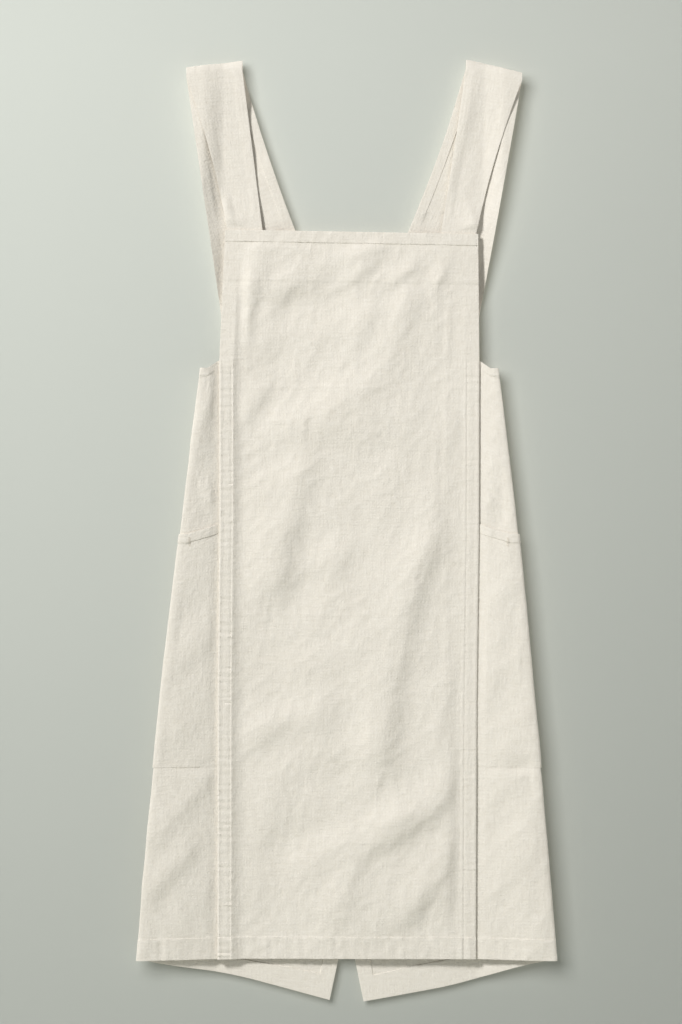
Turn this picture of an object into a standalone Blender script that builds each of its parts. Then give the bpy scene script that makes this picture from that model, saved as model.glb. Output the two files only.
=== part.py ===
"""Crossover-back pinafore apron in natural cotton canvas, hanging by its two shoulder straps.

A straight front panel makes the bib and the skirt. A side gore is sewn under each of its long edges and folds round
the side to a back panel. Each back panel crosses behind the body and joins the strap of the opposite shoulder, and
the strap comes over the shoulder and down to the top of the bib, where a facing holds its end.

Metres, +Z up, +Y towards the back. Left and right are as seen from the front: left is -X. Heights in this file are
measured from the front hem, and the origin is on the line that both strap folds hang from.
"""

from math import cos, pi, sin

import bpy
from mathutils import Vector

# Cloth
CLOTH = 0.0009  # thickness of one layer
CLEARANCE = 0.0003  # between layers that lie on each other
INSIDE_HALF_DEPTH = 0.0072  # half of the space inside, between the front and the back
SEAM_LAP = 0.012  # how far one piece lies over the next at a seam
FELL_WIDTH = 0.016  # the wider lap under the front panel's long edges

# Front panel and facing
FRONT_LENGTH = 0.8025
BIB_DEPTH = 0.1425  # from the bib's top down to the top of the side seams
FRONT_HALF_HEM = 0.1425
FRONT_HALF_UNDERARM = FRONT_HALF_HEM + 0.0010
BIB_HALF_TOP = FRONT_HALF_UNDERARM - 0.0040
FACING_DEPTH = 0.0565
FACING_INSET = 0.002

# Side gores
GORE_FRONT_HEM = 0.0885  # width in front of the side fold, at the hem and at the top
GORE_FRONT_TOP = 0.0205
GORE_BACK_HEM = 0.0660  # width behind the side fold
GORE_BACK_TOP = 0.0160
GORE_HALF_HEM = FRONT_HALF_HEM + GORE_FRONT_HEM  # from the centre to the side fold
GORE_HALF_TOP = FRONT_HALF_UNDERARM + GORE_FRONT_TOP
GORE_BOW = 0.0037  # how far the side fold bows out between them
GORE_TOP_AT_SEAM = FRONT_LENGTH - BIB_DEPTH
GORE_TOP_AT_FOLD = GORE_TOP_AT_SEAM - 0.0080
FOLD_HEM_DROP = 0.0005

# Back panels
BACK_SEAM_X_HEM = GORE_HALF_HEM - GORE_BACK_HEM
BACK_SEAM_X_TOP = GORE_HALF_TOP - GORE_BACK_TOP
BACK_SEAM_TOP = GORE_TOP_AT_FOLD - 0.0120
CENTRE_BACK_X = 0.0188  # from the centre to a panel's lower inner corner
CENTRE_BACK_DROP = 0.0468  # how far that corner hangs below the front hem
BACK_HEM_SLOPE = 0.2264

# Straps
STRAP_WIDTH = 0.0615  # at the shoulder
STRAP_END_WIDTH = 0.0390  # where it goes behind the bib
STRAP_RISE = 0.1870  # from the bib's top to the shoulder
STRAP_SPREAD = 0.0455  # how far its outer edge leans out on the way up
STRAP_SEAM_HEIGHT = GORE_TOP_AT_SEAM + 0.0300
STRAP_SEAM_INNER = 0.0120
STRAP_SEAM_OUTER = BACK_SEAM_X_TOP - 0.0085
STRAP_FOLD_OUTER = BIB_HALF_TOP + STRAP_SPREAD
STRAP_FOLD_INNER = STRAP_FOLD_OUTER - STRAP_WIDTH
STRAP_FOLD_TOP_INNER = FRONT_LENGTH + STRAP_RISE
STRAP_FOLD_TOP_OUTER = STRAP_FOLD_TOP_INNER - 0.0100
STRAP_BIB_OUTER = BIB_HALF_TOP - 0.0020
STRAP_BIB_INNER = STRAP_BIB_OUTER - STRAP_END_WIDTH
STRAP_END_NARROWING = 0.0070  # both edges lean in by this much behind the bib
STRAP_FRONT_OUTER_BOW = -0.0040
STRAP_BACK_INNER_BOW = 0.0070

# Pockets
POCKET_BELOW_GORE_TOP = 0.1800
POCKET_DEPTH = 0.2680
POCKET_TOP_AT_SEAM = GORE_TOP_AT_SEAM - POCKET_BELOW_GORE_TOP
POCKET_TOP_AT_FOLD = POCKET_TOP_AT_SEAM - 0.0110
POCKET_BOTTOM = POCKET_TOP_AT_SEAM - POCKET_DEPTH
POCKET_GAPE = 0.0070  # how far its face stands away from the gore at the mouth
POCKET_BACK_WIDTH = 0.0060  # how far it runs on behind the side fold
BAR_TACK = (0.0030, 0.0008, 0.0095)  # width, thickness and height
BAR_TACK_BELOW_MOUTH = 0.0085

# The canvas: unbleached, woven, quite matt
CANVAS_COLOUR = (0.80, 0.74, 0.66, 1.0)
THREAD_COLOUR = (0.84, 0.79, 0.71, 1.0)

LAYER = CLOTH + CLEARANCE
HANG_HEIGHT = (STRAP_FOLD_TOP_INNER + STRAP_FOLD_TOP_OUTER) / 2 - CLOTH


def front_layer(number):
    """Y of a layer's middle in front of the body: 0 lies next to the inside space."""
    return -(INSIDE_HALF_DEPTH + CLOTH / 2 + number * LAYER)


def back_layer(number):
    return INSIDE_HALF_DEPTH + CLOTH / 2 + number * LAYER


def mix(first, second, share):
    return first + (second - first) * share


def steps(count):
    """Shares from 0 to 1 along a run."""
    return [i / count for i in range(count + 1)]


def front_half_width(height):
    if height < GORE_TOP_AT_SEAM:
        return mix(FRONT_HALF_HEM, FRONT_HALF_UNDERARM, height / GORE_TOP_AT_SEAM)
    share = (height - GORE_TOP_AT_SEAM) / (FRONT_LENGTH - GORE_TOP_AT_SEAM)
    return mix(FRONT_HALF_UNDERARM, BIB_HALF_TOP, share)


def fold_x(height):
    """Distance from the centre to the gore's side fold."""
    share = height / GORE_TOP_AT_FOLD
    return mix(GORE_HALF_HEM, GORE_HALF_TOP, share) + GORE_BOW * 4 * share * (1 - share)


def back_hem_height(x):
    """Height of the back hem at a distance x from the centre: it dips towards the centre back."""
    return -CENTRE_BACK_DROP + BACK_HEM_SLOPE * (x - CENTRE_BACK_X)


def make_material(name, colour, roughness):
    material = bpy.data.materials.new(name)
    material.use_nodes = True
    shader = material.node_tree.nodes["Principled BSDF"]
    shader.inputs["Base Color"].default_value = colour
    shader.inputs["Roughness"].default_value = roughness
    shader.inputs["Metallic"].default_value = 0.0
    return material


def place(obj):
    apron.objects.link(obj)
    obj.parent = hanging_line
    colour = THREAD_COLOUR if obj.name.startswith("bar_tack") else CANVAS_COLOUR
    obj.data.materials.append(make_material(obj.name + "_cloth", colour, 0.9))
    return obj


def flat_piece(name, outline, layer_y, rounded=()):
    """A flat cut piece in the XZ plane. rounded maps a corner to the handle offsets of its curved side."""
    curve = bpy.data.curves.new(name, "CURVE")
    curve.dimensions = "2D"
    curve.fill_mode = "BOTH"
    curve.extrude = CLOTH / 2
    curve.resolution_u = 16
    spline = curve.splines.new("BEZIER")
    spline.bezier_points.add(len(outline) - 1)
    spline.use_cyclic_u = True
    for i, (point, (x, z)) in enumerate(zip(spline.bezier_points, outline)):
        point.co = (x, z, 0)
        point.handle_left_type = point.handle_right_type = "VECTOR"
        for corner, side, offset in rounded:
            if corner == i:
                setattr(point, f"handle_{side}_type", "FREE")
                setattr(point, f"handle_{side}", (x + offset[0], z + offset[1], 0))
    obj = place(bpy.data.objects.new(name, curve))
    obj.location = (0, layer_y, 0)
    obj.rotation_euler = (pi / 2, 0, 0)
    return obj


def draped_piece(name, rows):
    """A piece that bends: rows of points on its middle surface, given its thickness by a Solidify."""
    columns = len(rows[0])
    points = [point for row in rows for point in row]
    faces = [
        (i * columns + j, i * columns + j + 1, (i + 1) * columns + j + 1, (i + 1) * columns + j)
        for i in range(len(rows) - 1)
        for j in range(columns - 1)
    ]
    mesh = bpy.data.meshes.new(name)
    mesh.from_pydata(points, [], faces)
    obj = place(bpy.data.objects.new(name, mesh))
    wall = obj.modifiers.new("cloth", "SOLIDIFY")
    wall.thickness = CLOTH
    wall.offset = 0
    wall.use_even_offset = True
    mesh.shade_smooth()
    return obj


def make_front_panel():
    heights = (0.0, GORE_TOP_AT_SEAM, FRONT_LENGTH)
    right = [(front_half_width(z), z) for z in heights]
    left = [(-x, z) for x, z in reversed(right)]
    flat_piece("front_panel", right + left, front_layer(2))


def make_bib_facing():
    low = FRONT_LENGTH - FACING_DEPTH
    high = FRONT_LENGTH - FACING_INSET
    right = [(front_half_width(z) - FACING_INSET, z) for z in (low, high)]
    left = [(-x, z) for x, z in reversed(right)]
    flat_piece("bib_facing", right + left, front_layer(0))


def wrapped_row(side, seam_z, side_fold_x, end_x, front_y, back_y, height_at, gape=0.0):
    """One level of a piece that folds round the side: front run, half a turn at the fold, back run.

    Its first stretch lies under the front panel. gape is how far the middle of the rest stands out.
    height_at gives the height for a share along the row: 0 at the front seam, 0.5 at the fold, 1 at the back end.
    """
    radius = (back_y - front_y) / 2
    middle_y = (back_y + front_y) / 2
    turn_x = side_fold_x - radius
    clear_x = front_half_width(seam_z) + LAYER
    row = [(front_half_width(seam_z) - FELL_WIDTH, front_y, height_at(0.0))]
    for share in steps(8):
        row.append((mix(clear_x, turn_x, share), front_y - gape * sin(pi * share), height_at(0.5 * share)))
    for share in steps(8)[1:-1]:
        angle = pi * share
        row.append((turn_x + radius * sin(angle), middle_y - radius * cos(angle), height_at(0.5)))
    for share in steps(4):
        row.append((mix(turn_x, end_x, share), back_y, height_at(0.5 + 0.5 * share)))
    return [(side * x, y, z) for x, y, z in row]


def make_side_gore(name, side, back_number):
    """back_number is the layer that its back run lies in."""
    rows = []
    for level in steps(12):
        seam_z = mix(0.0, GORE_TOP_AT_SEAM, level)
        fold_z = mix(-FOLD_HEM_DROP, GORE_TOP_AT_FOLD, level)
        end_x = mix(BACK_SEAM_X_HEM, BACK_SEAM_X_TOP, level) - SEAM_LAP
        end_z = mix(back_hem_height(BACK_SEAM_X_HEM - SEAM_LAP), BACK_SEAM_TOP, level)

        def height_at(share, seam_z=seam_z, fold_z=fold_z, end_z=end_z):
            if share < 0.5:
                return mix(seam_z, fold_z, 2 * share)
            return mix(fold_z, end_z, 2 * share - 1)

        rows.append(
            wrapped_row(side, seam_z, fold_x(fold_z), end_x, front_layer(0), back_layer(back_number), height_at)
        )
    draped_piece(name, rows)


def make_pocket(name, side, back_number):
    """A patch over the gore, caught under the front panel, that runs round the side fold and gapes at its mouth."""
    rows = []
    for level in steps(10):
        seam_z = mix(POCKET_BOTTOM, POCKET_TOP_AT_SEAM, level)
        fold_z = mix(POCKET_BOTTOM, POCKET_TOP_AT_FOLD, level)
        gape = POCKET_GAPE * sin(pi / 2 * level)

        def height_at(share, seam_z=seam_z, fold_z=fold_z):
            return mix(seam_z, fold_z, min(2 * share, 1.0))

        edge = fold_x(fold_z) + LAYER
        radius = (back_layer(back_number) - front_layer(1)) / 2
        end_x = edge - radius - POCKET_BACK_WIDTH
        rows.append(
            wrapped_row(side, seam_z, edge, end_x, front_layer(1), back_layer(back_number), height_at, gape)
        )
    draped_piece(name, rows)


def make_bar_tack(name, side, pocket_back_number):
    """A short bar of dense stitching at the outer end of a pocket mouth, where the mouth's gape has all but gone."""
    width, thickness, height = BAR_TACK
    radius = (back_layer(pocket_back_number) - front_layer(1)) / 2
    turn_x = fold_x(POCKET_TOP_AT_FOLD) + LAYER - radius
    x = turn_x - width
    gape = POCKET_GAPE * sin(pi * 2 * width / (turn_x - front_half_width(POCKET_TOP_AT_SEAM)))
    y = front_layer(1) - CLOTH / 2 - CLEARANCE - thickness / 2 - gape
    bpy.ops.mesh.primitive_cube_add(size=1)
    obj = bpy.context.object
    obj.users_collection[0].objects.unlink(obj)
    obj.name = obj.data.name = name
    for vertex in obj.data.vertices:
        vertex.co = Vector((vertex.co.x * width, vertex.co.y * thickness, vertex.co.z * height))
    place(obj)
    obj.location = (side * x, y, POCKET_TOP_AT_FOLD - BAR_TACK_BELOW_MOUTH)


def make_back_panel(name, side, number):
    """side is the gore's side. The panel crosses the centre, so its strap seam is on the other side."""
    top = STRAP_SEAM_HEIGHT + SEAM_LAP
    rise = (top - STRAP_SEAM_HEIGHT) / (STRAP_FOLD_TOP_OUTER - STRAP_SEAM_HEIGHT)
    outer = mix(STRAP_SEAM_OUTER, STRAP_FOLD_OUTER, rise)
    inner = mix(STRAP_SEAM_INNER, STRAP_FOLD_INNER, rise) + STRAP_BACK_INNER_BOW * 4 * rise * (1 - rise)
    outline = [
        (-CENTRE_BACK_X, -CENTRE_BACK_DROP),
        (outer, top),
        (inner, top),
        (-BACK_SEAM_X_TOP, BACK_SEAM_TOP),
        (-BACK_SEAM_X_HEM, back_hem_height(BACK_SEAM_X_HEM)),
    ]
    armhole = [(2, "right", (-0.028, -0.048)), (3, "left", (0.062, 0.0))]
    if side > 0:
        outline = [(-x, z) for x, z in outline]
        armhole = [(corner, end, (-x, z)) for corner, end, (x, z) in armhole]
    flat_piece(name, outline, back_layer(number), armhole)


def make_strap(name, side, back_number):
    """side is the shoulder that it goes over. It runs from behind the bib, over the fold, to its back panel."""
    front_y = front_layer(1)
    back_y = back_layer(back_number)
    radius = (back_y - front_y) / 2
    middle_y = (back_y + front_y) / 2
    end_z = FRONT_LENGTH - FACING_DEPTH + 2 * CLEARANCE
    turn_in = STRAP_FOLD_TOP_INNER - radius
    turn_out = STRAP_FOLD_TOP_OUTER - radius
    rows = []

    def add_row(inner, outer, y, z_inner, z_outer):
        rows.append([(side * mix(inner, outer, k), y, mix(z_inner, z_outer, k)) for k in steps(3)])

    for share in steps(3)[:-1]:
        lean = STRAP_END_NARROWING * (1 - share)
        z = mix(end_z, FRONT_LENGTH, share)
        add_row(STRAP_BIB_INNER - lean, STRAP_BIB_OUTER - lean, front_y, z, z)
    for share in steps(8):
        bow = STRAP_FRONT_OUTER_BOW * 4 * share * (1 - share)
        inner = mix(STRAP_BIB_INNER, STRAP_FOLD_INNER, share)
        outer = mix(STRAP_BIB_OUTER, STRAP_FOLD_OUTER, share) + bow
        add_row(inner, outer, front_y, mix(FRONT_LENGTH, turn_in, share), mix(FRONT_LENGTH, turn_out, share))
    for share in steps(8)[1:-1]:
        y = middle_y - radius * cos(pi * share)
        rise = radius * sin(pi * share)
        add_row(STRAP_FOLD_INNER, STRAP_FOLD_OUTER, y, turn_in + rise, turn_out + rise)
    for share in steps(10):
        bow = STRAP_BACK_INNER_BOW * 4 * share * (1 - share)
        inner = mix(STRAP_FOLD_INNER, STRAP_SEAM_INNER, share) + bow
        outer = mix(STRAP_FOLD_OUTER, STRAP_SEAM_OUTER, share)
        z_inner = mix(turn_in, STRAP_SEAM_HEIGHT, share)
        z_outer = mix(turn_out, STRAP_SEAM_HEIGHT, share)
        add_row(inner, outer, back_y, z_inner, z_outer)
    draped_piece(name, rows)


for old in list(bpy.data.objects):
    bpy.data.objects.remove(old)

apron = bpy.data.collections.new("apron")
bpy.context.scene.collection.children.link(apron)
hanging_line = bpy.data.objects.new("hanging_line", None)
hanging_line.location = (0, 0, -HANG_HEIGHT)
apron.objects.link(hanging_line)

make_front_panel()
make_bib_facing()
# The left side's back pieces lie inside the right side's.
make_side_gore("side_gore_left", -1, 0)
make_side_gore("side_gore_right", 1, 1)
make_pocket("pocket_left", -1, 1)
make_pocket("pocket_right", 1, 2)
make_bar_tack("bar_tack_left", -1, 1)
make_bar_tack("bar_tack_right", 1, 2)
make_back_panel("back_panel_left", -1, 1)
make_back_panel("back_panel_right", 1, 2)
make_strap("shoulder_strap_right", 1, 0)
make_strap("shoulder_strap_left", -1, 3)
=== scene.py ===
# %% [markdown]
# # A crossover-back pinafore apron in natural cotton canvas
# The apron hangs by its two shoulder straps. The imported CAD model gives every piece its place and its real
# size, in metres, with +Z up and the back towards +Y. This lesson puts real cloth in the place of each plain
# CAD piece: hems, seams, rows of stitches, creases from the packet, and a woven finish.

# %% Load the frame
from math import cos, pi, radians, sin

import bmesh
import bpy
import numpy as np
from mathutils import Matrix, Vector


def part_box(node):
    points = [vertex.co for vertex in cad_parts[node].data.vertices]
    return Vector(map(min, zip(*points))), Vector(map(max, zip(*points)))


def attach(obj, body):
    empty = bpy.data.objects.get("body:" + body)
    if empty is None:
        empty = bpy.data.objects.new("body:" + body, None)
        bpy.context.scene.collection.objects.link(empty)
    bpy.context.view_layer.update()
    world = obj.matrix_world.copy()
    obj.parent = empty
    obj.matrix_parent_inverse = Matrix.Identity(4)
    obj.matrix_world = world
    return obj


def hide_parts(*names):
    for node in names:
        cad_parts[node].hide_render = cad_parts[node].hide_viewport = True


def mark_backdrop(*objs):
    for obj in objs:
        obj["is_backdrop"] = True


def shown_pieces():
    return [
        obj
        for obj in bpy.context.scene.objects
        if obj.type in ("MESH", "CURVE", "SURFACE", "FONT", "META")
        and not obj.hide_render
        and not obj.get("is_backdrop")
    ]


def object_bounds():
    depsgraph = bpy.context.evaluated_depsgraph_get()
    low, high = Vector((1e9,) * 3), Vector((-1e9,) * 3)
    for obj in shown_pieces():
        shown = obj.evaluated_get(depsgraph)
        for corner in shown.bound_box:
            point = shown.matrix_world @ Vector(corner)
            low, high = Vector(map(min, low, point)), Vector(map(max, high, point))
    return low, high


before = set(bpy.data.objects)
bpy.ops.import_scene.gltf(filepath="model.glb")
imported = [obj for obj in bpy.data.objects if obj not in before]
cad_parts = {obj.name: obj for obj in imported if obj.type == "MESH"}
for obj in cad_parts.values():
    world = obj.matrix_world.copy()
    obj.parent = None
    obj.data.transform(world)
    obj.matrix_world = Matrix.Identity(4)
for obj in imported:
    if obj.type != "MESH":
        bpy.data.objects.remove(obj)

cad_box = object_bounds()
HEM_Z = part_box("front_panel")[0].z  # heights below are measured up from the front hem
print("CAD nodes:", len(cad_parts), "front hem at z", round(HEM_Z, 4))

# %% [markdown]
# ## The sizes of the pattern
# Each number is one that the CAD model was cut to, so the cloth lands where the CAD piece is. The layers lie
# on each other like sheets of paper: a number counts them outwards from the space where the body goes.

# %% The pattern's sizes, in metres
CLOTH = 0.0009
LAYER = 0.0012  # one layer of cloth and the air next to it
INSIDE_HALF_DEPTH = 0.0072
SEAM_LAP = 0.012
FELL_WIDTH = 0.016
FRONT_LENGTH = 0.8025
GORE_TOP_AT_SEAM, GORE_TOP_AT_FOLD = 0.6600, 0.6520
FRONT_HALF_WIDTHS = (0.1425, 0.1435, 0.1395)  # at the hem, at the gore's top, and at the bib's top
GORE_HALF_HEM, GORE_HALF_TOP, GORE_BOW = 0.2310, 0.1640, 0.0037
FOLD_HEM_DROP = 0.0005
BACK_SEAM_X_HEM, BACK_SEAM_X_TOP, BACK_SEAM_TOP = 0.1650, 0.1480, 0.6400
CENTRE_BACK_X, CENTRE_BACK_DROP, BACK_HEM_SLOPE = 0.0188, 0.0468, 0.2264
STRAP_SEAM_HEIGHT, STRAP_SEAM_INNER, STRAP_SEAM_OUTER = 0.6900, 0.0120, 0.1395
STRAP_FOLD_INNER, STRAP_FOLD_OUTER = 0.1235, 0.1850
STRAP_FOLD_TOP_INNER, STRAP_FOLD_TOP_OUTER = 0.9895, 0.9795
STRAP_BIB_INNER, STRAP_BIB_OUTER = 0.0985, 0.1375
POCKET_TOP_AT_SEAM, POCKET_TOP_AT_FOLD, POCKET_BOTTOM = 0.4800, 0.4690, 0.2120
POCKET_GAPE, POCKET_BACK_WIDTH = 0.0070, 0.0060
FACING_DEPTH = 0.0565


def front_layer(number):
    return -(INSIDE_HALF_DEPTH + CLOTH / 2 + number * LAYER)


def back_layer(number):
    return INSIDE_HALF_DEPTH + CLOTH / 2 + number * LAYER


print("outermost layers at y", round(front_layer(2), 5), "and", round(back_layer(3), 5))

# %% [markdown]
# Three outlines are needed again and again: the front panel's long edge, the side fold of the gore, and the
# back hem, which dips to the centre back. They are functions of height or of distance from the centre. Three
# more small functions mix two values, make an even step, and make a soft bump.

# %% The outlines


def mix(first, second, share):
    return first + (second - first) * share


def smooth(low, high, value):
    """0 below low, 1 above high, and an even S between them."""
    t = np.clip((np.asarray(value, float) - low) / (high - low), 0, 1)
    return t * t * (3 - 2 * t)


def bell(value, centre, width):
    """A soft bump: 1 at the centre, and almost 0 at two widths from it."""
    return np.exp(-(((value - centre) / width) ** 2))


def front_half_width(height):
    return np.interp(height, (0.0, GORE_TOP_AT_SEAM, FRONT_LENGTH), FRONT_HALF_WIDTHS)


def fold_x(height):
    share = height / GORE_TOP_AT_FOLD
    return mix(GORE_HALF_HEM, GORE_HALF_TOP, share) + GORE_BOW * 4 * share * (1 - share)


def back_hem_height(x):
    return -CENTRE_BACK_DROP + BACK_HEM_SLOPE * (x - CENTRE_BACK_X)


print("side fold at half height:", round(float(fold_x(0.33)), 4))

# %% [markdown]
# ## Wrinkles
# Cloth that has been folded, packed and hung out shows three kinds of line: long soft folds where it swells
# away from the body, sharp press creases from the packet, and a fine crumple all over. The crumple is a sum
# of many weak waves that cross each other, with seeded directions, so that every run makes the same cloth.

# %% A crumple made of crossing waves


def crumple(x, z, wavelength, seed, direction=None, spread=pi):
    """About -1 to 1. direction is the angle that the ridges run at, measured from +X."""
    dice = np.random.default_rng(seed)
    total = np.zeros_like(x)
    waves = 14
    for _ in range(waves):
        if direction is None:
            turn = dice.uniform(0, pi)
        else:
            turn = direction + pi / 2 + dice.uniform(-spread, spread) / 2
        length = wavelength * dice.uniform(0.65, 1.5)
        bend = 0.35 * np.sin((x * dice.normal() + z * dice.normal()) * 2 / wavelength + dice.uniform(0, 7))
        total += np.sin((x * cos(turn) + z * sin(turn)) * 2 * pi / length + dice.uniform(0, 7) + bend)
    return total / (waves ** 0.5) * 0.7


def ridges(x, z, wavelength, seed, direction=None, spread=pi):
    """The same field folded over its middle, which turns waves into thin crests, as in crushed cotton."""
    return (1 - np.abs(crumple(x, z, wavelength, seed, direction, spread))) ** 2


print("crumple at one point:", round(float(crumple(np.array([0.1]), np.array([0.2]), 0.05, 1)[0]), 4))

# %% [markdown]
# A long fold is a crest with a gentle slope on its left and a steep one on its right. It is drawn as a line
# of points, and each point of the cloth asks how far it is from that line and on which side it lies.

# %% One long fold


def fold(x, z, crest, height, gentle, steep):
    """How far the cloth stands out for one fold. crest is in mm, (x, height), from its upper end down."""
    points = np.array(crest, float) / 1000
    for _ in range(2):  # cut the corners twice, so that the crest bends softly
        cut = [mix(a, b, t) for a, b in zip(points[:-1], points[1:]) for t in (0.25, 0.75)]
        points = np.array([points[0], *cut, points[-1]])
    lengths = np.linalg.norm(np.diff(points, axis=0), axis=1)
    along_whole = np.concatenate([[0], np.cumsum(lengths)])
    nearest = np.full(x.shape, 1e9)
    value = np.zeros(x.shape)
    for start, end, length, before in zip(points[:-1], points[1:], lengths, along_whole):
        step = (end - start) / length
        t = np.clip((x - start[0]) * step[0] + (z - start[1]) * step[1], 0, length)
        dx, dz = x - (start[0] + step[0] * t), z - (start[1] + step[1] * t)
        away = np.hypot(dx, dz)
        on_right = dx * -step[1] + dz * step[0] > 0
        along = (before + t) / along_whole[-1]
        taper = np.sin(pi * np.clip(0.12 + 0.76 * along, 0, 1)) ** 0.8
        here = height * taper * bell(away, 0, np.where(on_right, steep, gentle))
        value = np.where(away < nearest, here, value)
        nearest = np.minimum(away, nearest)
    return value


def folds(x, z, table):
    return sum(fold(x, z, *row) for row in table)


# Each row is a crest in mm, its height, and the widths of its gentle and its steep side.
FRONT_FOLDS = [
    ([(-52, 565), (-70, 485), (-84, 400)], 0.0056, 0.034, 0.017),
    ([(96, 478), (74, 402)], 0.0036, 0.022, 0.011),
    ([(72, 402), (55, 336), (45, 281), (38, 210)], 0.0054, 0.034, 0.015),
    ([(48, 232), (2, 222)], 0.0026, 0.022, 0.016),
    ([(126, 212), (96, 166), (58, 142), (25, 130), (2, 100), (-8, 52)], 0.0062, 0.030, 0.016),
    ([(120, 136), (96, 88), (58, 40)], 0.0054, 0.024, 0.014),
    ([(28, 738), (0, 670)], 0.0034, 0.024, 0.014),
    ([(68, 752), (54, 684)], 0.0032, 0.018, 0.013),
    ([(-88, 640), (-122, 590)], 0.0026, 0.018, 0.010),
    ([(-100, 775), (-121, 690)], 0.0036, 0.016, 0.012),
    ([(50, 800), (-24, 764)], 0.0022, 0.014, 0.010),
    ([(23, 772), (-4, 744)], 0.0022, 0.012, 0.007),
    ([(74, 768), (34, 742)], 0.0024, 0.012, 0.007),
    ([(104, 768), (92, 738)], 0.0018, 0.010, 0.006),
    ([(-58, 752), (-96, 706)], 0.0022, 0.016, 0.010),
    ([(-18, 702), (-58, 652)], 0.0018, 0.020, 0.012),
    ([(-113, 742), (-117, 650)], 0.0018, 0.016, 0.009),
    ([(118, 96), (104, 40)], 0.0026, 0.014, 0.009),
    ([(84, 164), (30, 150)], 0.0020, 0.018, 0.010),
    ([(-60, 278), (-112, 238)], 0.0028, 0.024, 0.014),
    ([(-6, 142), (-58, 72)], 0.0028, 0.026, 0.016),
    ([(112, 582), (-60, 590)], 0.0030, 0.034, 0.022),
    ([(36, 646), (-30, 604)], 0.0020, 0.022, 0.014),
    ([(-22, 330), (-36, 246)], 0.0022, 0.024, 0.016),
    ([(8, 488), (-24, 410)], 0.0018, 0.026, 0.018),
    ([(116, 330), (100, 240)], 0.0018, 0.016, 0.010),
]
GORE_FOLDS = [
    ([(-152, 204), (-208, 140)], 0.0028, 0.018, 0.012),
    ([(-168, 126), (-220, 74)], 0.0029, 0.018, 0.012),
    ([(-152, 360), (-190, 318)], 0.0022, 0.018, 0.012),
    ([(-148, 640), (-172, 560)], 0.0022, 0.008, 0.010),
    ([(-150, 80), (-190, 36)], 0.0022, 0.020, 0.014),
    ([(196, 236), (176, 120)], 0.0026, 0.030, 0.022),
    ([(212, 120), (190, 30)], 0.0022, 0.022, 0.018),
    ([(172, 420), (158, 300)], 0.0018, 0.020, 0.014),
]
BACK_FOLDS = [
    ([(-20, 640), (-74, 540), (-92, 430)], 0.0052, 0.030, 0.016),
    ([(86, 690), (40, 600)], 0.0040, 0.024, 0.014),
    ([(98, 470), (60, 380), (48, 300)], 0.0050, 0.030, 0.016),
    ([(-60, 330), (-104, 240)], 0.0042, 0.026, 0.014),
    ([(20, 250), (-50, 160), (-70, 90)], 0.0048, 0.028, 0.015),
    ([(120, 190), (70, 100)], 0.0042, 0.024, 0.014),
]
STRAP_FOLDS = [
    ([(-160, 962), (-155, 872)], 0.0026, 0.008, 0.006),
    ([(-139, 840), (-134, 812)], 0.0034, 0.007, 0.004),
    ([(-140, 815), (-120, 811)], 0.0032, 0.006, 0.004),
    ([(134, 972), (116, 888)], 0.0030, 0.010, 0.008),
    ([(114, 890), (106, 842)], 0.0022, 0.008, 0.005),
    ([(130, 832), (137, 810)], 0.0030, 0.008, 0.005),
    ([(142, 813), (121, 810)], 0.0032, 0.006, 0.004),
]
PRESSED = [  # press creases from the packet: axis, place in metres, from, to, height
    ("x", 0.1075, 0.29, 0.735, 0.00055),
    ("x", 0.0955, 0.36, 0.735, 0.00030),
    ("x", 0.0060, 0.60, 0.740, 0.00040),
    ("x", -0.1130, 0.48, 0.760, 0.00035),
    ("z", 0.6310, -0.14, 0.14, 0.00030),
    ("z", 0.3800, -0.14, 0.14, 0.00028),
    ("z", 0.1290, -0.23, 0.23, 0.00030),
]


def pressed(x, z):
    """Thin raised lines, 1.6 mm wide, that wander a little as a pressed crease does."""
    total = np.zeros(x.shape)
    for axis, place, low, high, height in PRESSED:
        across, along = (x, z) if axis == "x" else (z, x)
        wander = 0.0008 * crumple(along, along * 0.3, 0.12, int(abs(place) * 9000) + 7)
        fade = smooth(low - 0.02, low + 0.02, along) * (1 - smooth(high - 0.02, high + 0.02, along))
        total += height * fade * bell(across - place, wander, 0.0016)
    return total


print("folds drawn on the front:", len(FRONT_FOLDS), "and pressed lines:", len(PRESSED))

# %% [markdown]
# ## From a pattern piece to a sheet
# Every cloth piece starts as a grid of points on its middle surface. The right side and the wrong side are
# then set off from it, each by half the cloth and by its own relief, such as the second layer of a hem. It is
# what a Solidify modifier does, but with a thickness that changes from place to place, and it leaves a closed
# mesh. The grid's points are given one by one at hems, so that a turned edge ends in a crisp step.

# %% Spacing points across a piece


def marks(width, left, right, spacing):
    """Places from 0 to width: the left marks, even steps, and the right marks, counted from the far end."""
    near, far = [0.0, *left], [*[width - r for r in sorted(right, reverse=True)], width]
    count = max(2, int(round((width - near[-1] - (width - far[0])) / spacing)))
    middle = np.linspace(near[-1], far[0], count + 1)[1:-1]
    return np.array([*near, *middle, *far])


def hem_marks(depth, step=0.0005):
    """Points at the turned edge itself and on both sides of the line where the turning ends."""
    return [0.0006, 0.0022, *np.linspace(0.0045, depth - step, max(2, int(depth / 0.003))), depth]


def on_layer(x, z, y):
    """A grid of points that all lie on one layer."""
    return np.stack([x, np.full_like(x, y), z], axis=-1)


def outward_normals(middle, outward):
    """Unit normals of a grid of points, turned to the side that outward gives for the grid's first point."""
    n = np.cross(np.gradient(middle, axis=1), np.gradient(middle, axis=0))
    n /= np.maximum(np.linalg.norm(n, axis=2, keepdims=True), 1e-12)
    return n if n[0, 0] @ np.array(outward) > 0 else -n


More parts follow.
